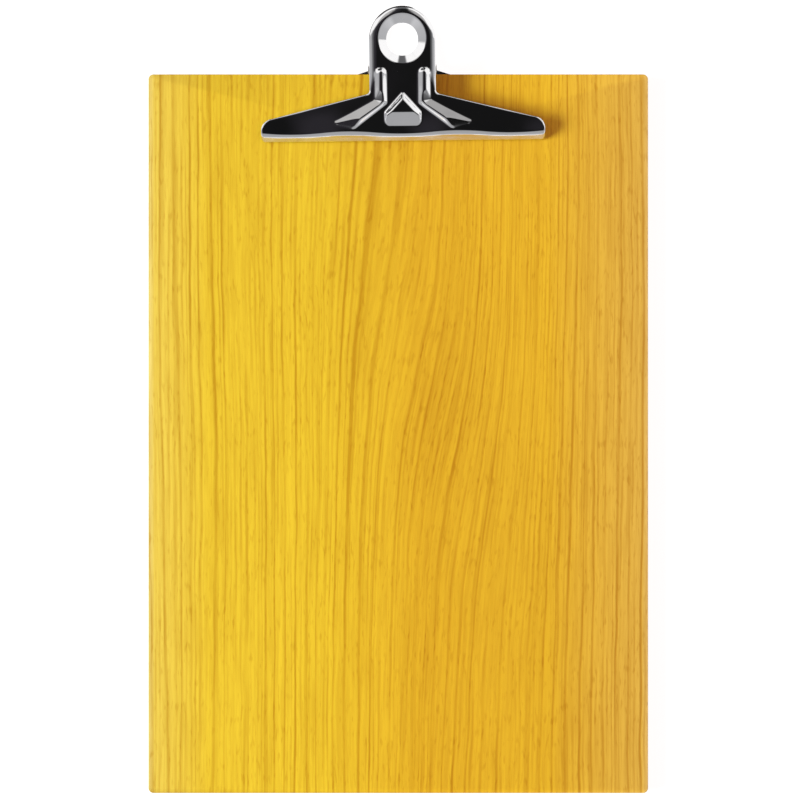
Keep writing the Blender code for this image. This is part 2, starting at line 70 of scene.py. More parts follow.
# Front plate: outline
SHEET = 0.8 * MM
TAB_HALF_WIDTH = 14.5 * MM
TAB_REACH = 27.9 * MM
JAW_HALF_WIDTH = 62.3 * MM
JAW_LIP_Y = -29.5 * MM
JAW_SHOULDER_Y = -9.1 * MM
JAW_END_Y = -20.7 * MM
JAW_CORNER_RADIUS = 1.8 * MM
JAW_END_RADIUS = 5 * MM
JAW_BEND_X_SHARE = 0.6
JAW_BEND_Y_SHARE = 0.48

# Front plate: height of its outer side, from the lip up over the wings to the tab
LIP_HEIGHT = 1.9 * MM
LIP_SLOPE = math.tan(math.radians(40))
LIP_BEND_Y = -26.2 * MM
LIP_END = 1.15 * MM
LIP_EDGE_SLOPE = 1.12
LIP_EDGE_Y = -27.3 * MM
LIP_TOP_Y = -24.6 * MM
LIP_WAVE = 0.45 * MM
LIP_WAVE_LENGTH = 48 * MM
LIP_WAVE_FADE = 12 * MM
WING_SLOPE = math.tan(math.radians(12))
TAB_SLOPE = math.tan(math.radians(17))
TAB_BEND_Y = -4.0 * MM
TAB_BEND_HALF = 3.5 * MM

# Front plate: rolled edge, with the sine of its last tilt, and the turned rim below it
ROLL_RADIUS = 0.9 * MM
LIP_ROLL = 0.4 * MM
TAB_ROLL = 3.3 * MM
ROLL_END = 0.67
TAB_END_TURN = 0.075
TAB_FLANGE = 2.4 * MM
WING_FLANGE = 1.2 * MM
FLANGE_TAPER = 9.0 * MM
LOWEST = 0.3 * MM

# Hanging hole, pivot, rear plate, spring, rivets and board
HOLE_Y = 14.0 * MM
HOLE_LIP_RADIUS = 10.9 * MM
HOLE_RADIUS = 6.95 * MM
HOLE_DEPTH = 2.8 * MM
HOLE_ROUNDED_SHARE = 0.18
REAR_HOLE_Y = 15.4 * MM
REAR_HOLE_RADIUS = 7.7 * MM
PIVOT_Y = 1.5 * MM
PIVOT_Z = 5.0 * MM
PIN_RADIUS = 1.5 * MM
PIN_BORE_RADIUS = 1.56 * MM
PIN_HEAD_RADIUS = 2.2 * MM
PIN_HEAD_GAP = 0.2 * MM
PIN_HEAD_LENGTH = 0.4 * MM
EAR_RADIUS = 3.2 * MM
EAR_HALF_SPAN = 7.0 * MM
EAR_FLARE = math.radians(60)
REAR_EAR_X = 12.9 * MM
EAR_NECK_Z = 1.0 * MM
REAR_TAB_HALF_WIDTH = 14.3 * MM
REAR_TAB_REACH = 27.4 * MM
REAR_HALF_WIDTH = 60 * MM
REAR_BOTTOM_Y = -26 * MM
REAR_END_Y = -12.5 * MM
REAR_SHOULDER_Y = 2.4 * MM
REAR_FRONT_FACE = -3.3 * MM
REAR_BACK_FACE = REAR_FRONT_FACE - SHEET
WINDOW_LOW_Y = 0.6 * MM
WINDOW_HIGH_Y = 5.0 * MM
WIRE_RADIUS = 0.75 * MM
COIL_RADIUS = 3.0 * MM
COIL_HALF_LENGTH = 11.2 * MM
COIL_TURNS = 12
LEG_CLEARANCE = 0.35 * MM
RIVET_X = 32 * MM
RIVET_Y = -19 * MM
RIVET_SHANK_RADIUS = 1.9 * MM
RIVET_HEAD_RADIUS = 4.0 * MM
RIVET_HEAD_HEIGHT = 1.3 * MM
RIVET_TAIL_RADIUS = 3.4 * MM
RIVET_TAIL_HEIGHT = 1.0 * MM
RIVET_GAP = 0.3 * MM
BOARD_CORNER_RADIUS = 2.2 * MM

# Pressed shapes: corners of each foot in millimetres, and how far in the slope from each edge runs
RIB_HEIGHT = 1.6 * MM
RIB_X = 9.5 * MM
RIB_TOP_Y = -0.8 * MM
RIB_HALF_WIDTH = 2.7 * MM
RIB_SIDE_RUN = 2.1 * MM
RIB_CAP_RUN = 1.5 * MM
RIB_CAP_STEPS = 8
RIB_CORNERS = [(6.7, -13.2), (21.4, -24.3), (23, -24.6), (28.4, -23.2)]
RIB_CORNERS += [(30.1, -22.2), (29.8, -21), (12.3, -11.8)]
RIB_RUNS = [1.6 * MM, 3 * MM, 7 * MM, 5 * MM, 4 * MM, 4.6 * MM, RIB_SIDE_RUN]
ROOF_HEIGHT = 1.85 * MM
ROOF_CORNERS = [(0, -8.6), (-8, -17.2), (-7.9, -21.2), (-6.2, -23.3)]
ROOF_CORNERS += [(6.2, -23.3), (7.9, -21.2), (8, -17.2)]
ROOF_RUNS = [2.0 * MM, 1.0 * MM, 1.0 * MM, 6.0 * MM, 1.0 * MM, 1.0 * MM, 2.0 * MM]

# ---------------------------- how finely the looks are meshed

OUTLINE_STEP = 0.45 * MM
GRID_STEP = 0.45 * MM
HOLE_RING_STEP = 0.4 * MM
HOLE_RING_REACH = 0.9 * MM
REAR_OUTLINE_STEP = 0.8 * MM
SLOPE_STEP = 0.1 * MM
LEAST_ARC_STEPS = 6
SMOOTH_BELOW = math.radians(32)
ROLL_ANGLES = (75, 60, 45, 30, 15, 0)
FLANGE_ROWS = 4
PRESS_CELL = 0.2 * MM
PRESS_BLUR = 0.3 * MM
HOLE_SIDES = 120
BORE_SIDES = 40
TURNED_SIDES = 64

joint = frame["joints"][0]
axis = Vector(joint["axis"])
skew = math.atan2(-axis.y, -axis.x)
CLIP_TO_WORLD = (
    Matrix.Translation(joint["pos_m"])
    @ Matrix.Rotation(skew, 4, "Z")
    @ Matrix.Translation((0, -PIVOT_Y, -PIVOT_Z))
)


# ---------------------------- outlines


def rounded_path(corners, step=OUTLINE_STEP):
    """The corners (x, y, radius) joined by straight lines, rounded and cut to short steps."""
    path = []
    for index, (x, y, radius) in enumerate(corners):
        here = Vector((x, y))
        if radius == 0 or index in (0, len(corners) - 1):
            path.append(here)
            continue
        before = (Vector(corners[index - 1][:2]) - here).normalized()
        after = (Vector(corners[index + 1][:2]) - here).normalized()
        half = before.angle(after) / 2
        centre = here + (before + after).normalized() * radius / math.sin(half)
        start = here + before * radius / math.tan(half) - centre
        end = here + after * radius / math.tan(half) - centre
        turn = start.angle_signed(end)
        steps = max(LEAST_ARC_STEPS, math.ceil(abs(turn) * radius / step))
        for k in range(steps + 1):
            spun = start.copy()
            spun.rotate(Matrix.Rotation(-turn * k / steps, 2))
            path.append(centre + spun)
    points = [path[0]]
    for a, b in zip(path, path[1:]):
        cuts = max(1, math.ceil((b - a).length / step - 0.01))
        points += [a.lerp(b, k / cuts) for k in range(1, cuts + 1)]
    return points


def mirrored_loop(half):
    """A closed loop from its right half, whose first and last points lie on the middle line."""
    left = [Vector((-p.x, p.y)) for p in reversed(half[1:-1])]
    return half + left


def loop_normals(loop):
    """Unit vectors that point out of a counter-clockwise loop, one at each of its points."""
    points = np.array(loop)
    along = np.roll(points, -1, 0) - points
    along /= np.linalg.norm(along, axis=1)[:, None]
    both = along + np.roll(along, 1, 0)
    outward = np.stack([both[:, 1], -both[:, 0]], 1)
    return outward / np.linalg.norm(outward, axis=1)[:, None]


def inset_loop(loop, distance):
    """The loop with every side moved inwards by the distance."""
    points = np.array(loop)
    along = np.roll(points, -1, 0) - points
    along /= np.linalg.norm(along, axis=1)[:, None]
    side = np.stack([along[:, 1], -along[:, 0]], 1)
    outward = loop_normals(loop)
    cosine = (outward * side).sum(1)
    return [Vector(p) for p in points - outward * (distance / cosine)[:, None]]


def circle(radius, centre, count):
    angles = [2 * math.pi * k / count for k in range(count)]
    return [Vector((centre[0] + radius * math.cos(a), centre[1] + radius * math.sin(a))) for a in angles]


def distances(points, loop):
    """How far each point is from the closed loop, and the unit vector to it from the nearest place."""
    best = np.full(len(points), np.inf)
    nearest = np.zeros((len(points), 2))
    corners = np.array(loop)
    for a, b in zip(corners, np.roll(corners, -1, 0)):
        along = b - a
        share = np.clip((points - a) @ along / (along @ along), 0, 1)
        offset = points - a - share[:, None] * along
        length = np.hypot(offset[:, 0], offset[:, 1])
        closer = length < best
        best[closer] = length[closer]
        nearest[closer] = offset[closer]
    return best, nearest / np.maximum(best, 1e-12)[:, None]


def inside(points, loop):
    """Which of the points lie inside the closed loop."""
    found = np.zeros(len(points), bool)
    corners = np.array(loop)
    for a, b in zip(corners, np.roll(corners, -1, 0)):
        if a[1] == b[1]:
            continue
        crosses = (a[1] > points[:, 1]) != (b[1] > points[:, 1])
        x = a[0] + (points[:, 1] - a[1]) * (b[0] - a[0]) / (b[1] - a[1])
        found ^= crosses & (points[:, 0] < x)
    return found


def triangulate(loops, holes, extra=()):
    """Points and triangles inside the first loop and outside the holes, and where each loop's points went."""
    points, edges, places = [], [], []
    for loop in loops:
        first = len(points)
        places.append(range(first, first + len(loop)))
        points += loop
        edges += [(first + k, first + (k + 1) % len(loop)) for k in range(len(loop))]
    points += list(extra)
    scale = 1 / MM
    flat, _, faces, origin, *_ = delaunay_2d_cdt([p * scale for p in points], edges, [], 1, 1e-6)
    moved = {old: new for new, olds in enumerate(origin) for old in olds}
    flat = np.array([(p.x, p.y) for p in flat]) * MM
    faces = np.array([f for f in faces if len(f) == 3])
    middle = flat[faces].mean(1)
    keep = inside(middle, loops[0])
    for hole in holes:
        keep &= ~inside(middle, hole)
    faces = faces[keep]
    a, b, c = flat[faces[:, 0]], flat[faces[:, 1]], flat[faces[:, 2]]
    turned = (b[:, 0] - a[:, 0]) * (c[:, 1] - a[:, 1]) < (b[:, 1] - a[:, 1]) * (c[:, 0] - a[:, 0])
    faces[turned] = faces[turned][:, ::-1]
    return flat, faces, [[moved[k] for k in place] for place in places]


# ---------------------------- objects


def link(name, mesh, body, slot, *replaced):
    """Puts a finished mesh into the scene as a piece of the object."""
    obj = bpy.data.objects.new(name, mesh)
    bpy.context.scene.collection.objects.link(obj)
    if body:
        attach(obj, body)
    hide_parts(*replaced)
    return obj


def mesh_of(name, verts, faces, material, normals=None, matrix=CLIP_TO_WORLD):
    """A mesh whose faces shade with the given corner normals, or by their angles where a normal is zero."""
    mesh = bpy.data.meshes.new(name)
    mesh.from_pydata([tuple(v) for v in verts], [], faces)
    mesh.validate()
    mesh.materials.append(material)
    mesh.shade_smooth()
    if normals is None:
        mesh.set_sharp_from_angle(angle=SMOOTH_BELOW)
    mesh.transform(matrix)
    if normals is not None:
        turn = np.array(matrix.to_3x3())
        mesh.normals_split_custom_set((np.array(normals) @ turn.T).tolist())
    return mesh


def turned(name, profile, axis_name, place, material, sides=TURNED_SIDES):
    """A closed solid turned from (place along the axis, radius) pairs."""
    verts, faces, rings = [], [], []
    for along, radius in profile:
        count = 1 if radius == 0 else sides
        rings.append(range(len(verts), len(verts) + count))
        for k in range(count):
            a = 2 * math.pi * k / sides
            u, v = radius * math.cos(a), radius * math.sin(a)
            offset = (along, u, v) if axis_name == "X" else (u, v, along)
            verts.append(Vector(place) + Vector(offset))
    for first, second in zip(rings, rings[1:]):
        for k in range(sides):
            quad = [first[k % len(first)], first[(k + 1) % len(first)]]
            quad += [second[(k + 1) % len(second)], second[k % len(second)]]
            faces.append(list(dict.fromkeys(quad)))
    mesh = mesh_of(name, verts, faces, material)
    bm = bmesh.new()
    bm.from_mesh(mesh)
    bmesh.ops.recalc_face_normals(bm, faces=bm.faces)
    bm.to_mesh(mesh)
    bm.free()
    return mesh


def arc(centre, radius, start, end, steps):
    """Profile points (along, radius) on a round edge, with the angles in degrees from the axis."""
    angles = [math.radians(start + (end - start) * k / steps) for k in range(steps + 1)]
    return [(centre[0] + radius * math.cos(a), centre[1] + radius * math.sin(a)) for a in angles]


def slab(name, outline, holes, low, high, edge, material, matrix):
    """A flat sheet with its outer edges rounded by edge, with holes straight through it."""
    rings = [(0, low + edge)]
    for k in (1, 2, 3):
        a = math.pi / 6 * k
        rings.append((edge * (1 - math.cos(a)), low + edge * (1 - math.sin(a))))
    bottom = list(reversed(rings))
    top = [(inset, low + high - z) for inset, z in rings]
    levels = bottom + top
    flat, cap, places = triangulate([inset_loop(outline, levels[0][0]), *holes], holes)
    count = len(flat)
    verts = [(p[0], p[1], low) for p in flat] + [(p[0], p[1], high) for p in flat]
    faces = [tuple(int(i) for i in f[::-1]) for f in cap] + [tuple(int(i) + count for i in f) for f in cap]
    rows = [places[0]]
    for inset, z in levels[1:-1]:
        rows.append(range(len(verts), len(verts) + len(outline)))
        verts += [(p.x, p.y, z) for p in inset_loop(outline, inset)]
    rows.append([i + count for i in places[0]])
    for low_row, high_row in zip(rows, rows[1:]):
        for k in range(len(outline)):
            n = (k + 1) % len(outline)
            faces.append((low_row[k], low_row[n], high_row[n], high_row[k]))
    for place in places[1:]:
        for k in range(len(place)):
            n = (k + 1) % len(place)
            faces.append((place[n], place[k], place[k] + count, place[n] + count))
    return mesh_of(name, verts, faces, material, None, matrix)


def joined(name, meshes, material):
    """One mesh made of several overlapping closed ones."""
    objects = []
    for index, mesh in enumerate(meshes):
        obj = bpy.data.objects.new(f"{name}_{index}", mesh)
        bpy.context.scene.collection.objects.link(obj)
        objects.append(obj)
    base = objects[0]
    for other in objects[1:]:
        union = base.modifiers.new("union", "BOOLEAN")
        union.operation = "UNION"
        union.solver = "EXACT"
        union.object = other
    bpy.context.view_layer.update()
    graph = bpy.context.evaluated_depsgraph_get()
    result = bpy.data.meshes.new_from_object(base.evaluated_get(graph))
    result.name = name
    result.materials.clear()
    result.materials.append(material)
    for obj in objects:
        bpy.data.objects.remove(obj)
    result.shade_smooth()
    result.set_sharp_from_angle(angle=SMOOTH_BELOW)
    return result


# ---------------------------- shape of the pressed front plate


def bend(y, bend_y, half, change):
    """Height that a rounded bend at bend_y adds to everything beyond it."""
    inner = np.clip(y - bend_y + half, 0, 2 * half)
    return change * (inner**2 / (4 * half) + np.maximum(y - bend_y - half, 0))


def smooth(value, low, high):
    """0 below low, 1 above high and a smooth rise between them."""
    share = np.clip((value - low) / (high - low), 0, 1)
    return share * share * (3 - 2 * share)


def roll_radius(y):
    """Radius of the rolled edge: small along the lip, large round the tab."""
    wing = LIP_ROLL + (ROLL_RADIUS - LIP_ROLL) * smooth(y, JAW_LIP_Y + 0.5 * MM, LIP_BEND_Y)
    return wing + (TAB_ROLL - ROLL_RADIUS) * smooth(y, JAW_SHOULDER_Y, 0.0)


def roll_end(y):
    """Sine of the roll's last tilt, which grows round the tab's far end."""
    return ROLL_END + TAB_END_TURN * np.clip((y - HOLE_Y) / TAB_HALF_WIDTH, 0, 1)


def plate_height(y, x=0.0):
    """Outer side of the sheet: a straight lip, a curve with a slow wave along it, the wings, then the tab."""
    wing_start = LIP_HEIGHT + LIP_SLOPE * (LIP_BEND_Y - JAW_LIP_Y) - WING_SLOPE * LIP_BEND_Y
    length = LIP_TOP_Y - LIP_EDGE_Y
    share = np.clip((y - LIP_EDGE_Y) / length, 0, 1)
    low = LIP_END + LIP_EDGE_SLOPE * (LIP_EDGE_Y - JAW_LIP_Y)
    high = wing_start + WING_SLOPE * LIP_TOP_Y
    curve = low + (high - low) * share * share * (3 - 2 * share)
    curve += length * LIP_EDGE_SLOPE * share * (1 - share) ** 2
    curve -= length * WING_SLOPE * share * share * (1 - share)
    straight = LIP_EDGE_SLOPE * np.minimum(y - LIP_EDGE_Y, 0) + WING_SLOPE * np.maximum(y - LIP_TOP_Y, 0)
    swell = smooth(y, LIP_EDGE_Y - 0.5 * MM, LIP_TOP_Y) - smooth(y, LIP_TOP_Y, LIP_TOP_Y + LIP_WAVE_FADE)
    curve -= LIP_WAVE * np.cos(2 * math.pi * x / LIP_WAVE_LENGTH) * swell
    return curve + straight + bend(y, TAB_BEND_Y, TAB_BEND_HALF, TAB_SLOPE - WING_SLOPE)


def jaw_outline():
    """Outer edge of the front plate, counter-clockwise from the middle of its lip."""
    ear = [(TAB_HALF_WIDTH, PIVOT_Y + side * EAR_HALF_SPAN, 0) for side in (-1, 1)]
    bend_y = JAW_SHOULDER_Y + (JAW_END_Y - JAW_SHOULDER_Y) * JAW_BEND_Y_SHARE
    corners = [
        (0, JAW_LIP_Y, 0),
        (JAW_HALF_WIDTH, JAW_LIP_Y, JAW_CORNER_RADIUS),
        (JAW_HALF_WIDTH, JAW_END_Y, JAW_END_RADIUS),
        (JAW_HALF_WIDTH * JAW_BEND_X_SHARE, bend_y, 0),
        (TAB_HALF_WIDTH, JAW_SHOULDER_Y, JAW_CORNER_RADIUS),
        *ear,
        (TAB_HALF_WIDTH, TAB_REACH, TAB_HALF_WIDTH),
        (0, TAB_REACH, 0),
    ]
    return mirrored_loop(rounded_path(corners))


def rib_foot(side):
    """Corners of the foot of one bent rib with its round top, and how far in each edge's slope runs."""
    corners = [Vector(c) * MM for c in RIB_CORNERS]
    runs = list(RIB_RUNS)
    for k in range(RIB_CAP_STEPS + 1):
        a = math.pi * k / RIB_CAP_STEPS
        corners.append(Vector((RIB_X, RIB_TOP_Y)) + RIB_HALF_WIDTH * Vector((math.cos(a), math.sin(a))))
        runs.append(RIB_SIDE_RUN + (RIB_CAP_RUN - RIB_SIDE_RUN) * math.sin(a))
    return [Vector((side * c.x, c.y)) for c in corners], runs


def pressed(points, corners, runs, height):
    """Height of a flat-topped shape whose slope from each edge runs in as far as that edge's run."""
    shares = np.full(len(points), 1.0)
    for index, run in enumerate(runs):
        a, b = np.array(corners[index]), np.array(corners[(index + 1) % len(corners)])
        along = b - a
        t = np.clip((points - a) @ along / (along @ along), 0, 1)
        offset = points - a - t[:, None] * along
        shares = np.minimum(shares, np.hypot(offset[:, 0], offset[:, 1]) / run)
    return np.where(inside(points, corners), shares, 0) * height


def make_pressings():
    """Heights of the pressed shapes on a fine grid, with their edges softened to a die's radius."""
    xs = np.arange(-36 * MM, 36.1 * MM, PRESS_CELL)
    ys = np.arange(-29 * MM, 6.1 * MM, PRESS_CELL)
    grid = np.stack(np.meshgrid(xs, ys, indexing="ij"), -1).reshape(-1, 2)
    feet = [(*rib_foot(side), RIB_HEIGHT) for side in (1, -1)]
    feet.append(([Vector(c) * MM for c in ROOF_CORNERS], ROOF_RUNS, ROOF_HEIGHT))
    lift = np.max([pressed(grid, *foot) for foot in feet], 0).reshape(len(xs), len(ys))
    reach = np.arange(-6, 7) * PRESS_CELL
    kernel = np.exp(-(reach**2) / (2 * PRESS_BLUR**2))
    kernel /= kernel.sum()
    for way in (0, 1):
        lift = np.apply_along_axis(np.convolve, way, lift, kernel, "same")
    return xs, ys, lift


PRESSINGS = make_pressings()


def lift_at(x, y):
    """Height of the pressed shapes at any place, read between the grid's points."""
    xs, ys, lift = PRESSINGS
    u = np.clip((x - xs[0]) / PRESS_CELL, 0, len(xs) - 1.001)
    v = np.clip((y - ys[0]) / PRESS_CELL, 0, len(ys) - 1.001)
    i, j = u.astype(int), v.astype(int)
    a, b = u - i, v - j
    low = lift[i, j] * (1 - a) + lift[i + 1, j] * a
    high = lift[i, j + 1] * (1 - a) + lift[i + 1, j + 1] * a
    return low * (1 - b) + high * b


def funnel_depth(x, y):
    """How far the flange round the hanging hole dips below the plate, with a rounded start."""
    radius = np.hypot(x, y - HOLE_Y)
    inwards = np.clip((HOLE_LIP_RADIUS - radius) / (HOLE_LIP_RADIUS - HOLE_RADIUS), 0, 2)
    rounded = HOLE_ROUNDED_SHARE
    return HOLE_DEPTH * np.where(inwards < rounded, inwards**2 / (2 * rounded), inwards - rounded / 2)


def waves(x, y):
    """Faint unevenness of thin pressed sheet."""
    total = np.sin(x / (3.9 * MM) + 0.6) * np.cos(y / (7.5 * MM) + 0.4)
    total += 0.8 * np.sin(x / (7.2 * MM) + y / (11 * MM) + 2.1)
    total += 0.5 * np.cos(x / (2.6 * MM) - y / (4.1 * MM))
    return 0.018 * MM * total


def body_height(x, y):
    """Outer side of the front plate without its rolled edge."""
    return plate_height(y, x) + lift_at(x, y) - funnel_depth(x, y) + waves(x, y)


def flange_bottom(x, y):
    """The lower edge of the turned rim, which deepens into an ear at the pivot."""
    outwards = min(1.0, max(0.0, (abs(x) - TAB_HALF_WIDTH) / FLANGE_TAPER))
    rim = float(plate_height(y, x)) - ROLL_RADIUS
    bottom = max(LOWEST, rim - TAB_FLANGE + (TAB_FLANGE - WING_FLANGE) * outwards)
    if abs(x) > TAB_HALF_WIDTH + 0.1 * MM:
        return bottom
    offset = abs(y - PIVOT_Y)
    corner = EAR_RADIUS * math.sin(EAR_FLARE)
    if offset < corner:
        ear = PIVOT_Z - math.sqrt(EAR_RADIUS**2 - offset**2)
    else:
        ear = PIVOT_Z - EAR_RADIUS / 2 + math.tan(EAR_FLARE) * (offset - corner)
    return min(bottom, ear)


class Skin:
    """Points of a pressed sheet's outer side with their normals, and faces for both of its sides."""

    def __init__(self):
        self.points = []
        self.normals = []
        self.faces = []
        self.borders = []

    def add(self, point, normal):
        self.points.append(tuple(float(v) for v in point))
        self.normals.append(tuple(float(v) for v in normal))
        return len(self.points) - 1

    def mesh(self, name, material):
        outer = np.array(self.points)
        normals = np.array(self.normals)
        inner = outer - normals * SHEET
        count = len(outer)
        faces, corners = [], []
        for face in self.faces:
            faces.append(tuple(face))
            corners += [normals[i] for i in face]
        for face in self.faces:
            faces.append(tuple(i + count for i in reversed(face)))
            corners += [-normals[i] for i in reversed(face)]
        for a, b in self.borders:
            faces.append((b, a, a + count, b + count))
            corners += [np.zeros(3)] * 4
        return mesh_of(name, np.concatenate([outer, inner]), faces, material, corners)


def build_front_plate(material):
    """The pressed plate: its outer side on a fine grid, the turned rim and the two ears bored for the pin."""
    outline = jaw_outline()
    outwards = loop_normals(outline)
    outline_roll = roll_radius(np.array(outline)[:, 1])
    rings = [inset_loop(outline, outline_roll * (1 - math.sin(math.radians(a)))) for a in ROLL_ANGLES]
    radii = np.arange(HOLE_RADIUS, HOLE_LIP_RADIUS + HOLE_RING_REACH, HOLE_RING_STEP)
    holes = [circle(r, (0, HOLE_Y), HOLE_SIDES) for r in radii]

    xs = np.arange(-JAW_HALF_WIDTH, JAW_HALF_WIDTH, GRID_STEP)
    ys = np.arange(JAW_LIP_Y, TAB_REACH, GRID_STEP * 0.87)
    grid = np.array([(x + (k % 2) * GRID_STEP / 2, y) for k, y in enumerate(ys) for x in xs])
    grid = grid[inside(grid, rings[-1])]
    grid = grid[distances(grid, rings[-1])[0] > GRID_STEP * 0.5]
    grid = grid[np.hypot(grid[:, 0], grid[:, 1] - HOLE_Y) > radii[-1] + GRID_STEP * 0.5]

    loops = [outline, *rings, *holes]
    flat, faces, places = triangulate(loops, [holes[0]], [Vector(p) for p in grid])
    x, y = flat[:, 0], flat[:, 1]
    away, direction = distances(flat, outline)
    radius = roll_radius(y)
    last = roll_end(y)
    sine = np.clip(1 - away / radius, 0, 1) * last
    cosine = np.sqrt(1 - sine**2)
    height = body_height(x, y) - radius / last * (1 - cosine)
    h = SLOPE_STEP
    slope_x = (body_height(x + h, y) - body_height(x - h, y)) / (2 * h)
    slope_y = (body_height(x, y + h) - body_height(x, y - h)) / (2 * h)
    normals = np.stack([-slope_x, -slope_y, np.ones(len(flat))], 1)
    normals /= np.linalg.norm(normals, axis=1)[:, None]
    edge = np.zeros((len(flat), 3))
    edge[:, :2] = -direction
    edge[places[0], :2] = outwards
    normals = normals * cosine[:, None] + edge * sine[:, None]
    normals /= np.linalg.norm(normals, axis=1)[:, None]

    skin = Skin()
    for p, z, n in zip(flat, height, normals):
        skin.add((p[0], p[1], z), n)
    skin.faces += [tuple(int(i) for i in f) for f in faces]
    hole = places[1 + len(rings)]
    skin.borders += [(hole[k], hole[k - 1]) for k in range(len(hole))]

    count = len(outline)
    rows = [places[0]]
    for row in range(1, FLANGE_ROWS + 1):
        made = []
        for k, p in enumerate(outline):
            top = skin.points[places[0][k]][2]
            z = top + (flange_bottom(p.x, p.y) - top) * row / FLANGE_ROWS
            made.append(skin.add((p.x, p.y, z), (*outwards[k], 0)))
        rows.append(made)
    ears = {1: [], -1: []}
    for k in range(count):
        n = (k + 1) % count
        a, b = outline[k], outline[n]
        low, high = PIVOT_Y - EAR_HALF_SPAN - 1e-6, PIVOT_Y + EAR_HALF_SPAN + 1e-6
        straight = abs(abs(a.x) - TAB_HALF_WIDTH) < 1e-6 and abs(a.x - b.x) < 1e-6
        skin.borders.append((rows[-1][k], rows[-1][n]))
        if straight and low < min(a.y, b.y) and max(a.y, b.y) < high:
            ears[1 if a.x > 0 else -1].append(k)
            continue
        for upper, lower in zip(rows, rows[1:]):
            skin.faces.append((upper[k], lower[k], lower[n], upper[n]))
    for side, steps in ears.items():
        chain = steps + [(steps[-1] + 1) % count]
        ring = [rows[0][k] for k in chain]
        ring += [row[chain[-1]] for row in rows[1:-1]]
        ring += [rows[-1][k] for k in reversed(chain)]
        ring += [row[chain[0]] for row in reversed(rows[1:-1])]
        around = [Vector((skin.points[i][1], skin.points[i][2])) for i in ring]
        if inside(np.array([(PIVOT_Y, PIVOT_Z)]), around)[0]:
            bore = circle(PIN_BORE_RADIUS, (PIVOT_Y, PIVOT_Z), BORE_SIDES)
            flat, patch, (edge_places, bore_places) = triangulate([around, bore], [bore])
            index = dict(zip(edge_places, ring))
            for i in bore_places:
                index[i] = skin.add((side * TAB_HALF_WIDTH, flat[i][0], flat[i][1]), (side, 0, 0))
            for f in patch:
                face = tuple(index[int(i)] for i in f)
                skin.faces.append(face if side > 0 else face[::-1])
            wall = [index[i] for i in bore_places]
            for k in range(len(wall)):
                pair = (wall[k], wall[k - 1]) if side > 0 else (wall[k - 1], wall[k])
                skin.borders.append(pair)
    return skin.mesh("clip_front_plate", material)


def rear_outline():
    """Outer edge of the rear plate, counter-clockwise from the middle of its lower edge."""
    corners = [
        (0, REAR_BOTTOM_Y, 0),
        (REAR_HALF_WIDTH, REAR_BOTTOM_Y, 2 * MM),
        (REAR_HALF_WIDTH, REAR_END_Y, 4 * MM),
        (REAR_TAB_HALF_WIDTH, REAR_SHOULDER_Y, 1.2 * MM),
        (REAR_TAB_HALF_WIDTH, REAR_TAB_REACH, REAR_TAB_HALF_WIDTH - 0.05 * MM),
        (0, REAR_TAB_REACH, 0),
    ]
    return mirrored_loop(rounded_path(corners, REAR_OUTLINE_STEP))


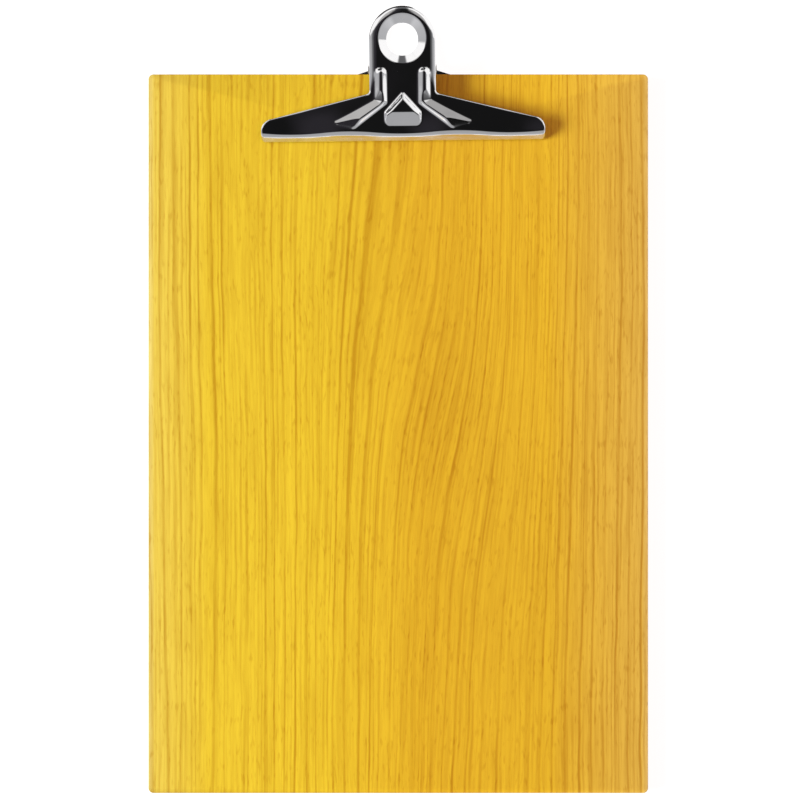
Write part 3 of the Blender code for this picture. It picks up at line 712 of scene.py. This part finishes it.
def build_rear_plate(material):
    """The flat rear plate with the two ears that are folded forwards out of its window."""
    window = [(-REAR_EAR_X, WINDOW_LOW_Y), (REAR_EAR_X, WINDOW_LOW_Y)]
    window += [(REAR_EAR_X, WINDOW_HIGH_Y), (-REAR_EAR_X, WINDOW_HIGH_Y)]
    window = [Vector(c) for c in window]
    holes = [window, circle(REAR_HOLE_RADIUS, (0, REAR_HOLE_Y), 96)]
    for x in (-RIVET_X, RIVET_X):
        holes.append(circle(RIVET_SHANK_RADIUS + RIVET_GAP, (x, RIVET_Y), 32))
    one = Matrix.Identity(4)
    flat = slab("rear_flat", rear_outline(), holes, REAR_BACK_FACE, REAR_FRONT_FACE, 0.2 * MM, material, one)
    meshes = [flat]
    # each ear: a bent neck out of the window's end, then a flat head round the pin
    head = [Vector((WINDOW_HIGH_Y, 0)), Vector((WINDOW_HIGH_Y, EAR_NECK_Z))]
    for k in range(25):
        a = math.pi * k / 24
        head.append(Vector((PIVOT_Y + EAR_RADIUS * math.cos(a), PIVOT_Z + EAR_RADIUS * math.sin(a))))
    head += [Vector((WINDOW_LOW_Y, EAR_NECK_Z)), Vector((WINDOW_LOW_Y, 0))]
    bore = circle(PIN_BORE_RADIUS, (PIVOT_Y, PIVOT_Z), BORE_SIDES)
    sunk = 0.02 * MM
    fold = 0.3 * MM
    for side in (-1, 1):
        # the slab's own axes are (y, z) of the clip, and its thickness runs along x
        low, high = sorted((side * REAR_EAR_X, side * (REAR_EAR_X - SHEET)))
        upright = Matrix(((0, 0, 1, 0), (1, 0, 0, 0), (0, 1, 0, 0), (0, 0, 0, 1)))
        meshes.append(slab("ear", head, [bore], low, high, 0.12 * MM, material, upright))
        centre = Vector((REAR_EAR_X + fold, REAR_FRONT_FACE + fold))
        neck = [Vector((REAR_EAR_X + 1.2 * MM, REAR_FRONT_FACE - sunk))]
        neck.append(Vector((REAR_EAR_X + 1.2 * MM, REAR_BACK_FACE + sunk)))
        for k in range(9):
            a = math.pi / 2 * k / 8
            reach = fold + SHEET - sunk
            neck.append(centre + reach * Vector((-math.sin(a), -math.cos(a))))
        neck += [Vector((REAR_EAR_X - SHEET + sunk, 0.5 * MM)), Vector((REAR_EAR_X - sunk, 0.5 * MM))]
        for k in range(5):
            a = math.pi / 2 * (1 - k / 4)
            neck.append(centre + (fold + sunk) * Vector((-math.sin(a), -math.cos(a))))
        profile = [Vector((side * p.x, p.y)) for p in (neck if side < 0 else neck[::-1])]
        if sum(a.x * b.y - b.x * a.y for a, b in zip(profile, profile[1:] + profile[:1])) < 0:
            profile.reverse()
        # here the slab's own axes are (x, z) and its thickness runs along -y
        across = Matrix(((1, 0, 0, 0), (0, 0, -1, 0), (0, 1, 0, 0), (0, 0, 0, 1)))
        low, high = -WINDOW_HIGH_Y + sunk, -WINDOW_LOW_Y - sunk
        meshes.append(slab("neck", profile, [], low, high, 0.05 * MM, material, across))
    mesh = joined("clip_rear_plate", meshes, material)
    mesh.transform(CLIP_TO_WORLD)
    return mesh


def build_pin(material):
    """The pivot pin with a low rounded head at either end."""
    start = TAB_HALF_WIDTH + PIN_HEAD_GAP
    end = start + PIN_HEAD_LENGTH
    edge = 0.2 * MM
    half = [(end, 0), (end, PIN_HEAD_RADIUS * 0.3), (end - 0.03 * MM, PIN_HEAD_RADIUS * 0.6)]
    half += arc((end - 0.06 * MM - edge, PIN_HEAD_RADIUS - edge), edge, 25, 90, 6)
    half += [(start + 0.06 * MM, PIN_HEAD_RADIUS), (start, PIN_HEAD_RADIUS - 0.06 * MM), (start, PIN_RADIUS)]
    profile = half + [(-along, radius) for along, radius in reversed(half)]
    return turned("pivot_pin_polished", profile, "X", (0, PIVOT_Y, PIVOT_Z), material)


def build_rivet(name, x, material):
    """A domed head with a rolled brim on the front, and an upset tail with a shallow dimple behind."""
    low = RIVET_GAP
    top = low + RIVET_HEAD_HEIGHT
    dome = (RIVET_HEAD_RADIUS**2 + 0.9 * MM * 0.9 * MM) / (2 * 0.9 * MM)
    profile = [(top, 0)]
    for k in range(1, 13):
        r = RIVET_HEAD_RADIUS * 0.97 * k / 12
        profile.append((top - dome + math.sqrt(dome**2 - r**2), r))
    profile += arc((low + 0.2 * MM, RIVET_HEAD_RADIUS - 0.2 * MM), 0.2 * MM, 40, 180, 7)
    profile += [(low, RIVET_SHANK_RADIUS)]
    tail_top = REAR_BACK_FACE - RIVET_GAP
    tail_low = tail_top - RIVET_TAIL_HEIGHT
    profile += [(tail_top, RIVET_SHANK_RADIUS), (tail_top, RIVET_TAIL_RADIUS - 0.25 * MM)]
    profile += arc((tail_top - 0.3 * MM, RIVET_TAIL_RADIUS - 0.3 * MM), 0.3 * MM, 60, 120, 4)
    profile += arc((tail_low + 0.5 * MM, RIVET_TAIL_RADIUS - 0.9 * MM), 0.5 * MM, 110, 180, 6)
    profile += [(tail_low + 0.02 * MM, 1.5 * MM), (tail_low + 0.25 * MM, 1.1 * MM)]
    profile += [(tail_low + 0.38 * MM, 0.6 * MM), (tail_low + 0.42 * MM, 0)]
    return turned(name, profile, "Z", (x, RIVET_Y, 0), material)


def leg_end(side):
    """Where a spring leg presses, from the pin's axis: under the front tab, or on the rear tab."""
    lift = WIRE_RADIUS + LEG_CLEARANCE
    if side > 0:
        y = 9.0 * MM
        z = float(plate_height(y)) - (SHEET + lift) / math.cos(math.atan(TAB_SLOPE))
    else:
        y = 8.6 * MM
        z = REAR_FRONT_FACE + lift
    return Vector((y - PIVOT_Y, z - PIVOT_Z))


def leg_angle(side):
    end = leg_end(side)
    return math.atan2(end.y, end.x) + side * math.acos(COIL_RADIUS / end.length)


def build_spring(material):
    """A close coil round the pin with two straight legs, swept from round wire."""
    start = leg_angle(-1)
    turn = leg_angle(1) - start - 2 * math.pi * COIL_TURNS
    count = COIL_TURNS * 40
    path = []
    for k in range(count + 1):
        a = start + turn * k / count
        x = COIL_HALF_LENGTH * (2 * k / count - 1)
        path.append(Vector((x, COIL_RADIUS * math.cos(a), COIL_RADIUS * math.sin(a))))
    for side, place in ((-1, 0), (1, len(path))):
        end = Vector((side * COIL_HALF_LENGTH, *leg_end(side)))
        near = path[0] if side < 0 else path[-1]
        leg = [near.lerp(end, k / 6) for k in range(1, 7)]
        path = leg[::-1] + path if side < 0 else path + leg
    sides = 16
    verts, faces = [], []
    along = (path[1] - path[0]).normalized()
    up = along.orthogonal().normalized()
    rings = []
    ends = [(0.0, 0.8), (0.1 * MM, 1.0)]
    stations = [(path[0] + along * d, s) for d, s in ends] + [(p, 1.0) for p in path[1:-1]]
    last = (path[-1] - path[-2]).normalized()
    stations += [(path[-1] - last * d, s) for d, s in reversed(ends)]
    for k, (place, share) in enumerate(stations):
        before, after = stations[max(0, k - 1)][0], stations[min(len(stations) - 1, k + 1)][0]
        along = (after - before).normalized()
        up = (up - along * up.dot(along)).normalized()
        side = along.cross(up)
        ring = []
        for s in range(sides):
            a = 2 * math.pi * s / sides
            offset = up * math.cos(a) + side * math.sin(a)
            ring.append(len(verts))
            verts.append(place + offset * WIRE_RADIUS * share + Vector((0, PIVOT_Y, PIVOT_Z)))
        rings.append(ring)
    for a, b in zip(rings, rings[1:]):
        for s in range(sides):
            n = (s + 1) % sides
            faces.append((a[s], a[n], b[n], b[s]))
    faces += [tuple(reversed(rings[0])), tuple(rings[-1])]
    return mesh_of("torsion_spring_wire", verts, faces, material)


# ---------------------------- materials


class Graph:
    """A node tree with short ways to add nodes."""

    def __init__(self, owner):
        owner.use_nodes = True
        self.tree = owner.node_tree

    def add(self, kind, sockets=(), **settings):
        node = self.tree.nodes.new(kind)
        for name, value in settings.items():
            setattr(node, name, value)
        for name, value in dict(sockets).items():
            self.set(node.inputs[name], value)
        return node

    def set(self, socket, value):
        if isinstance(value, bpy.types.NodeSocket):
            self.tree.links.new(value, socket)
        else:
            socket.default_value = value

    def math(self, operation, a, b=0.0, clamp=False):
        node = self.add("ShaderNodeMath", {0: a, 1: b}, operation=operation, use_clamp=clamp)
        return node.outputs[0]

    def vector(self, x, y, z=0.0):
        return self.add("ShaderNodeCombineXYZ", {0: x, 1: y, 2: z}).outputs[0]

    def scaled(self, parts, factors):
        """A vector of the coordinates, each multiplied by its own factor."""
        return self.vector(*(self.math("MULTIPLY", part, factor) for part, factor in zip(parts, factors)))

    def noise(self, vector, detail=2.0, roughness=0.5, scale=1.0):
        sockets = {"Vector": vector, "Scale": scale, "Detail": detail, "Roughness": roughness}
        return self.add("ShaderNodeTexNoise", sockets).outputs["Fac"]

    def span(self, value, low, high, to_low=0.0, to_high=1.0):
        sockets = {"Value": value, "From Min": low, "From Max": high, "To Min": to_low, "To Max": to_high}
        return self.add("ShaderNodeMapRange", sockets, interpolation_type="SMOOTHSTEP").outputs["Result"]

    def ramp(self, value, stops):
        node = self.add("ShaderNodeValToRGB", {"Fac": value})
        elements = node.color_ramp.elements
        while len(elements) < len(stops):
            elements.new(1.0)
        for element, (place, colour) in zip(elements, stops):
            element.position = place
        for element, (place, colour) in zip(elements, stops):
            element.color = (*colour, 1.0)
        return node.outputs["Color"]

    def mix(self, share, a, b, blend="MIX"):
        node = self.add("ShaderNodeMix", {0: share}, data_type="RGBA", blend_type=blend)
        self.set(node.inputs[6], a if not isinstance(a, tuple) else (*a, 1.0))
        self.set(node.inputs[7], b if not isinstance(b, tuple) else (*b, 1.0))
        return node.outputs[2]

    def bump(self, height, distance, strength=1.0):
        sockets = {"Height": height, "Distance": distance, "Strength": strength}
        return self.add("ShaderNodeBump", sockets).outputs["Normal"]

    def place(self):
        coordinates = self.add("ShaderNodeTexCoord").outputs["Object"]
        parts = self.add("ShaderNodeSeparateXYZ", {0: coordinates})
        return coordinates, parts.outputs[0], parts.outputs[1], parts.outputs[2]


def material_graph(name):
    material = bpy.data.materials.new(name)
    graph = Graph(material)
    return material, graph, graph.tree.nodes["Principled BSDF"]


def make_metal(name, colour, roughness, spread, wave):
    """Plated or drawn metal: uneven gloss, a faint ripple and fine handling scratches."""
    material, g, shader = material_graph(name)
    shader.inputs["Metallic"].default_value = 1.0
    place, x, y, z = g.place()
    smear = g.noise(place, 3.0, 0.6, 90.0)
    g.set(shader.inputs["Roughness"], g.span(smear, 0.3, 0.75, roughness, roughness + spread))
    tone = g.noise(place, 2.0, 0.5, 35.0)
    darker = tuple(c * 0.93 for c in colour)
    g.set(shader.inputs["Base Color"], g.mix(g.span(tone, 0.3, 0.7), colour, darker))
    along = g.scaled((x, y, z), (2600.0, 260.0, 900.0))
    across = g.scaled((x, y, z), (180.0, 2400.0, 900.0))
    fine = g.math("ADD", g.noise(along, 2.0), g.noise(across, 2.0))
    ripple = g.noise(place, 1.0, 0.4, 140.0)
    height = g.math("ADD", g.math("MULTIPLY", fine, 0.02), g.math("MULTIPLY", ripple, wave))
    g.set(shader.inputs["Normal"], g.bump(height, 0.0001))
    return material


def make_wood(name):
    """A printed wood pattern under a satin film: long lines that bow over the board, fibres and pores. Across
    the board the tone also holds painted light: pale painted highlights along both side edges and a painted
    lift towards the right.
    """
    material, g, shader = material_graph(name)
    place, x, y, _ = g.place()
    warp = g.noise(g.scaled((x, y), (11.0, 4.0)), 1.0)
    wiggle = g.noise(g.scaled((x, y), (70.0, 32.0)), 1.0)
    t = g.math("DIVIDE", g.math("SUBTRACT", x, 0.020), 0.040)
    bell = g.math("EXPONENT", g.math("MULTIPLY", g.math("MULTIPLY", t, t), -1.0))
    # the lines step sideways where y passes a slanting line, and lean a little everywhere near it
    from_step = g.math("ADD", y, g.math("MULTIPLY", g.math("SUBTRACT", x, 0.018), 1.3))
    step = g.math("MULTIPLY", g.span(from_step, -0.085, 0.095), 0.012)
    lean = g.math("MULTIPLY", bell, g.math("ADD", step, g.math("MULTIPLY", y, 0.05)))
    shift = g.math("MULTIPLY", g.math("SUBTRACT", warp, 0.5), 0.008)
    shift = g.math("ADD", shift, g.math("MULTIPLY", g.math("SUBTRACT", wiggle, 0.5), 0.0016))
    grain = g.math("ADD", g.math("SUBTRACT", x, lean), shift)

    def streaks(across, along, seed, detail=2.0, roughness=0.5):
        vector = g.vector(g.math("MULTIPLY", grain, across), g.math("MULTIPLY", y, along), seed)
        return g.noise(vector, detail, roughness)

    def lines(count, drift, across, along, seed, width):
        """Thin lines, count in a metre; drift noise spreads some and crowds others."""
        drifted = g.math("MULTIPLY", streaks(across, along, seed, 1.0), drift)
        phase = g.math("FRACT", g.math("ADD", g.math("MULTIPLY", grain, count), drifted))
        return g.span(g.math("ABSOLUTE", g.math("SUBTRACT", phase, 0.5)), 0.0, width, 1.0, 0.0)

    wide = g.span(streaks(45.0, 0.8, 1.3), 0.3, 0.7)
    strong_share = g.span(streaks(110.0, 4.0, 9.4), 0.35, 0.62, 0.25)
    strong = g.math("MULTIPLY", lines(190.0, 2.2, 60.0, 1.2, 4.1, 0.17), strong_share)
    weak_share = g.span(streaks(160.0, 12.0, 2.8), 0.38, 0.62, 0.1)
    weak = g.math("MULTIPLY", lines(440.0, 2.0, 150.0, 4.0, 7.7, 0.32), weak_share)
    fibre = g.span(streaks(900.0, 40.0, 5.5, 2.0), 0.3, 0.7)
    fleck = g.span(streaks(1000.0, 190.0, 8.2, 1.0), 0.54, 0.74)
    patch = g.span(g.noise(place, 2.0, 0.5, 90.0), 0.35, 0.6, 0.3)

    tone = g.math("MULTIPLY", strong, 0.56)
    for layer, share in ((weak, 0.36), (wide, 0.14), (fibre, 0.30)):
        tone = g.math("ADD", tone, g.math("MULTIPLY", layer, share))
    tone = g.math("ADD", tone, g.math("MULTIPLY", g.math("MULTIPLY", fleck, patch), 0.35), clamp=True)

    board_width = 2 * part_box("front_facing")[1].x
    across_board = g.math("ADD", g.math("DIVIDE", x, board_width), 0.5)
    # Tone across the board's width, partly the print and partly painted light. The print turns more orange to
    # the right. The tone is also painted lighter towards the right to offset the key light's fall-off there.
    # The first and last stops paint pale highlights along the board's left and right edges.
    base = g.ramp(
        across_board,
        [
            (0.0, (0.44, 0.40, 0.13)),
            (0.012, (0.41, 0.33, 0.045)),
            (0.12, (0.43, 0.33, 0.019)),
            (0.35, (0.485, 0.37, 0.019)),
            (0.55, (0.48, 0.318, 0.015)),
            (0.80, (0.53, 0.36, 0.018)),
            (0.988, (0.57, 0.41, 0.062)),
            (1.0, (0.58, 0.45, 0.13)),
        ],
    )
    colour = g.mix(tone, base, (0.66, 0.52, 0.28), "MULTIPLY")
    g.set(shader.inputs["Base Color"], colour)
    g.set(shader.inputs["Roughness"], g.span(fibre, 0.0, 1.0, 0.42, 0.52))
    shader.inputs["Specular IOR Level"].default_value = 0.25
    g.set(shader.inputs["Normal"], g.bump(g.math("SUBTRACT", 1.0, tone), 0.00004, 0.6))
    return material


def make_fibreboard(name):
    """Sawn edge of hard fibreboard: brown felted fibres in thin layers, with pale and dark specks."""
    material, g, shader = material_graph(name)
    place, x, y, z = g.place()
    layers = g.noise(g.scaled((x, y, z), (60.0, 60.0, 2600.0)), 3.0)
    clumps = g.noise(place, 4.0, 0.65, 900.0)
    specks = g.noise(place, 1.0, 0.5, 2600.0)
    tone = g.math("ADD", g.math("MULTIPLY", layers, 0.5), g.math("MULTIPLY", clumps, 0.5))
    browns = [(0.3, (0.20, 0.105, 0.042)), (0.5, (0.36, 0.215, 0.095)), (0.7, (0.52, 0.345, 0.17))]
    colour = g.ramp(tone, browns)
    colour = g.mix(g.span(specks, 0.66, 0.76, 0.0, 0.6), colour, (0.10, 0.05, 0.02))
    g.set(shader.inputs["Base Color"], colour)
    shader.inputs["Roughness"].default_value = 0.88
    g.set(shader.inputs["Normal"], g.bump(g.math("ADD", clumps, specks), 0.00012, 0.8))
    return material


# ---------------------------- the pieces

chrome = make_metal("chrome_plating", (0.90, 0.90, 0.92), 0.045, 0.05, 0.10)
pin_metal = make_metal("nickel_pin", (0.66, 0.65, 0.63), 0.16, 0.10, 0.05)
rivet_metal = make_metal("nickel_rivet", (0.68, 0.66, 0.62), 0.20, 0.12, 0.15)
wire_metal = make_metal("drawn_spring_wire", (0.40, 0.39, 0.38), 0.26, 0.14, 0.05)
wood = make_wood("wood_print_film_painted_light")
fibreboard = make_fibreboard("fibreboard_edge")


def board_outline(low, high):
    """The board's edge with its rounded corners, counter-clockwise."""
    inner = BOARD_CORNER_RADIUS
    corners = []
    for x, y, start in ((high.x, low.y, -90), (high.x, high.y, 0), (low.x, high.y, 90), (low.x, low.y, 180)):
        cx = x - math.copysign(inner, x)
        cy = y - math.copysign(inner, y)
        for k in range(13):
            a = math.radians(start + 90 * k / 12)
            corners.append(Vector((cx + inner * math.cos(a), cy + inner * math.sin(a))))
    return corners


def build_board():
    """The sawn core between its two printed facings, bored for the rivets."""
    front_low, front_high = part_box("front_facing")
    back_low, back_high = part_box("back_facing")
    core_low, core_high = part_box("board_core")
    bores = []
    for x in (-RIVET_X, RIVET_X):
        centre = CLIP_TO_WORLD @ Vector((x, RIVET_Y, 0))
        bores.append(circle(RIVET_SHANK_RADIUS + RIVET_GAP, centre, 32))
    one = Matrix.Identity(4)
    # the glue line closes, so that core and facings meet
    low_joint = (back_high.z + core_low.z) / 2
    high_joint = (front_low.z + core_high.z) / 2
    outline = board_outline(front_low, front_high)
    core_outline = inset_loop(outline, 0.06 * MM)
    core = slab("board_core_sawn", core_outline, bores, low_joint, high_joint, 0.02 * MM, fibreboard, one)
    front = slab("front_wood_print", outline, bores, high_joint, front_high.z, 0.16 * MM, wood, one)
    back = slab("back_wood_print", outline, bores, back_low.z, low_joint, 0.16 * MM, wood, one)
    link("board_core_sawn", core, "board_assembly", "fibreboard", "board_core")
    link("front_wood_print", front, "board_assembly", "wood_print", "front_facing")
    link("back_wood_print", back, "board_assembly", "wood_print", "back_facing")


def build_clip():
    """Both plates, the pin, the rivets and the spring, whose far leg presses under the front plate's tab."""
    link("clip_front_plate", build_front_plate(chrome), "front_jaw", "chrome_plate", "front_jaw_plate")
    link("clip_rear_plate", build_rear_plate(chrome), "board_assembly", "chrome_plate", "rear_jaw_plate")
    link("pivot_pin_polished", build_pin(pin_metal), "board_assembly", "pin_steel", "pivot_pin")
    left = build_rivet("left_rivet_domed", -RIVET_X, rivet_metal)
    right = build_rivet("right_rivet_domed", RIVET_X, rivet_metal)
    link("left_rivet_domed", left, "board_assembly", "rivet_steel", "rivet_left")
    link("right_rivet_domed", right, "board_assembly", "rivet_steel", "rivet_right")
    spring = link("torsion_spring_wire", build_spring(wire_metal), None, "spring_steel", "torsion_spring")
    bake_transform(spring)


build_board()
build_clip()

# ---------------------------- floor, light and camera

FLOOR_REACH = 6.0
KEY_PLACE = (-1.7, -0.1, 0.85)
KEY_TARGET = (0, 0.05, 0)
KEY_SIZE = (1.1, 0.6)
KEY_WATTS = 100.0
FILL_PLACE = (0.15, 0.1, 1.6)
FILL_SIZE = (1.2, 1.2)
FILL_WATTS = 9.0
FILL_COLOUR = (1.0, 0.12, 0.03)

scene = bpy.context.scene
scene.view_settings.view_transform = "Standard"


def build_floor():
    """A pale matt floor that glows a little, so that it stays white round the object."""
    mesh = bpy.data.meshes.new("floor")
    corners = [(x * FLOOR_REACH, y * FLOOR_REACH, 0) for x, y in ((-1, -1), (1, -1), (1, 1), (-1, 1))]
    mesh.from_pydata(corners, [], [(0, 1, 2, 3)])
    material, _, shader = material_graph("white_floor")
    shader.inputs["Base Color"].default_value = (0.16, 0.16, 0.16, 1)
    shader.inputs["Roughness"].default_value = 0.9
    shader.inputs["Specular IOR Level"].default_value = 0.0
    shader.inputs["Emission Color"].default_value = (1, 1, 1, 1)
    shader.inputs["Emission Strength"].default_value = 0.92
    mesh.materials.append(material)
    floor = bpy.data.objects.new("floor", mesh)
    scene.collection.objects.link(floor)


def add_light(name, place, target, size, power, colour):
    """A rectangular light that isn't mirrored in the chrome, which shows only the world."""
    data = bpy.data.lights.new(name, "AREA")
    data.shape = "RECTANGLE"
    data.size, data.size_y = size
    data.energy = power
    data.color = colour
    light = bpy.data.objects.new(name, data)
    scene.collection.objects.link(light)
    light.location = place
    light.rotation_mode = "QUATERNION"
    light.rotation_quaternion = (Vector(target) - Vector(place)).to_track_quat("-Z", "Y")
    light.visible_camera = False
    light.visible_glossy = False


def build_world():
    """A studio with pale sides, a dark canopy overhead, bright windows and dark panels between them."""
    world = bpy.data.worlds.new("studio")
    scene.world = world
    g = Graph(world)
    direction = g.add("ShaderNodeTexCoord").outputs["Generated"]
    parts = g.add("ShaderNodeSeparateXYZ", {0: direction})
    x, y, z = parts.outputs

    def grey(*stops):
        return g.ramp(z, [(place, (level, level, level * 1.01)) for place, level in stops])

    bright = (1.08, 1.07, 1.05)
    dim = (0.06, 0.06, 0.06)
    away = g.math("ABSOLUTE", x)
    sides = grey((0.0, 0.9), (0.1, 0.7), (0.2, 0.5), (0.5, 0.42), (0.64, 0.16), (0.8, 0.04), (1.0, 0.012))
    front = grey((0.0, 1.2), (0.05, 0.5), (0.2, 0.42), (0.68, 0.40), (0.77, 0.008))
    to_front = g.math("MULTIPLY", g.span(away, 0.3, 0.5, 1.0, 0.0), g.span(y, -0.1, 0.0, 1.0, 0.0))
    colour = g.mix(to_front, sides, front)
    # a broad window on either side towards the clip: grey above, dim below a sill that rises far out
    broad = g.math("MULTIPLY", g.span(away, 0.12, 0.27), g.span(y, -0.2, -0.06))
    over = g.mix(g.span(x, -0.1, 0.1), (0.50, 0.49, 0.47), (0.42, 0.41, 0.40))
    over = g.mix(g.span(y, 0.35, 0.5), over, dim)
    sill = g.math("SUBTRACT", z, g.span(y, 0.4, 0.52, 0.0, 0.36))
    pane = g.mix(g.span(sill, 0.12, 0.2), dim, bright)
    colour = g.mix(broad, colour, g.mix(g.span(z, 0.76, 0.88), pane, over))
    # a low window on the right
    low = g.math("MULTIPLY", g.span(x, 0.3, 0.5), g.span(z, 0.42, 0.5, 1.0, 0.0))
    colour = g.mix(g.math("MULTIPLY", low, g.span(y, -0.26, -0.22)), colour, bright)
    # a dark strip between the broad windows, wider at the bottom
    beside = g.math("ADD", away, g.span(z, 0.5, 0.65, 0.0, 0.12))
    strip = g.math("MULTIPLY", g.span(beside, 0.24, 0.38, 1.0, 0.0), g.span(y, -0.08, 0.02))
    colour = g.mix(strip, colour, grey((0.0, 0.02), (0.45, 0.03), (0.58, 0.13), (0.8, 0.13), (0.9, 0.01)))
    tint = g.mix(g.span(x, -0.12, 0.02, 1.0, 0.0), (0.0, 0.0, 0.0), (0.016, 0.014, 0.018))
    colour = g.mix(g.span(z, 0.5, 0.8), colour, tint, "ADD")
    background = g.tree.nodes["Background"]
    g.set(background.inputs["Color"], colour)
    background.inputs["Strength"].default_value = 1.0


build_floor()
build_world()
add_light("key", KEY_PLACE, KEY_TARGET, KEY_SIZE, KEY_WATTS, (1.0, 1.0, 1.0))
add_light("warm_fill", FILL_PLACE, (0, 0, 0), FILL_SIZE, FILL_WATTS, FILL_COLOUR)

CAMERA_X = 0.77 * MM
CAMERA_Y = 0.89 * MM
CAMERA_HEIGHT = 1.3054
SENSOR_WIDTH = 36
VIEW_WIDTH = 0.3523  # of the plane that the board's front lies in
camera_data = bpy.data.cameras.new("camera")
camera_data.sensor_width = SENSOR_WIDTH
camera_data.lens = SENSOR_WIDTH * (CAMERA_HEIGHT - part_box("front_facing")[1].z) / VIEW_WIDTH
camera = bpy.data.objects.new("camera", camera_data)
scene.collection.objects.link(camera)
camera.location = (CAMERA_X, CAMERA_Y, CAMERA_HEIGHT)
scene.camera = camera
